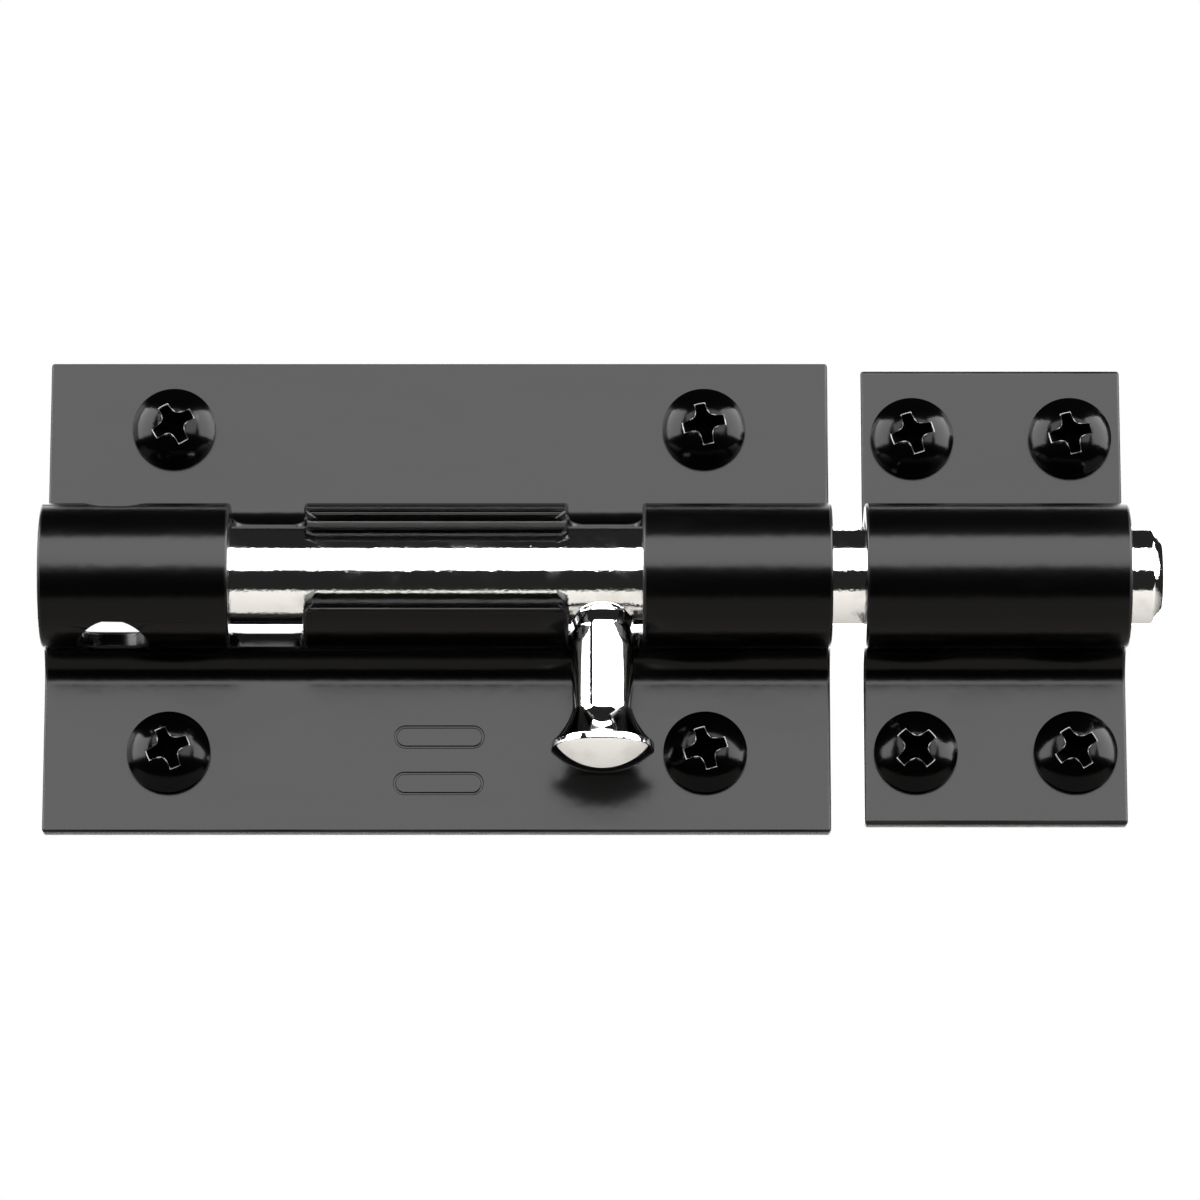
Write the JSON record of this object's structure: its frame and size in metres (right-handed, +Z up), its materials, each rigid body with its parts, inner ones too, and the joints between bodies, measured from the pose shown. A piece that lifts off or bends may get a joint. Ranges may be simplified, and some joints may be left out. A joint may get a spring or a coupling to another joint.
{
  "type": "barrel bolt with keeper",
  "caption": "Surface-mounted steel barrel bolt with a padlock hole, a turning knob and a separate keeper, thrown.",
  "frame": {"origin": "centre of the case's back face, in the plane of the door", "axes": "+X along the bolt towards the keeper, +Y into the door, +Z up"},
  "size_m": [0.144, 0.0428, 0.0634],
  "materials": {
    "black_enamel": "satin black enamel on pressed steel",
    "bright_plating": "bright plated steel with a fine drawn grain",
    "black_screw": "gloss black coated steel"
  },
  "bodies": {
    "case": {"case": "black_enamel", "keeper": "black_enamel", "screw_case_lower_left": "black_screw", "screw_case_lower_right": "black_screw", "screw_case_upper_left": "black_screw", "screw_case_upper_right": "black_screw", "screw_keeper_lower_left": "black_screw", "screw_keeper_lower_right": "black_screw", "screw_keeper_upper_left": "black_screw", "screw_keeper_upper_right": "black_screw"},
    "bolt": {"bolt_rod": "bright_plating"},
    "knob": {"knob": "bright_plating"}
  },
  "joints": [
    {"name": "bolt_slide", "type": "slide", "parent": "case", "child": "bolt", "axis": [1, 0, 0], "range_m": [-0.0431, 0]},
    {"name": "knob_turn", "type": "hinge", "parent": "bolt", "child": "knob", "pos_m": [0.02133, -0.011, 0], "axis": [-1, 0, 0], "range_deg": [0, 180]}
  ]
}
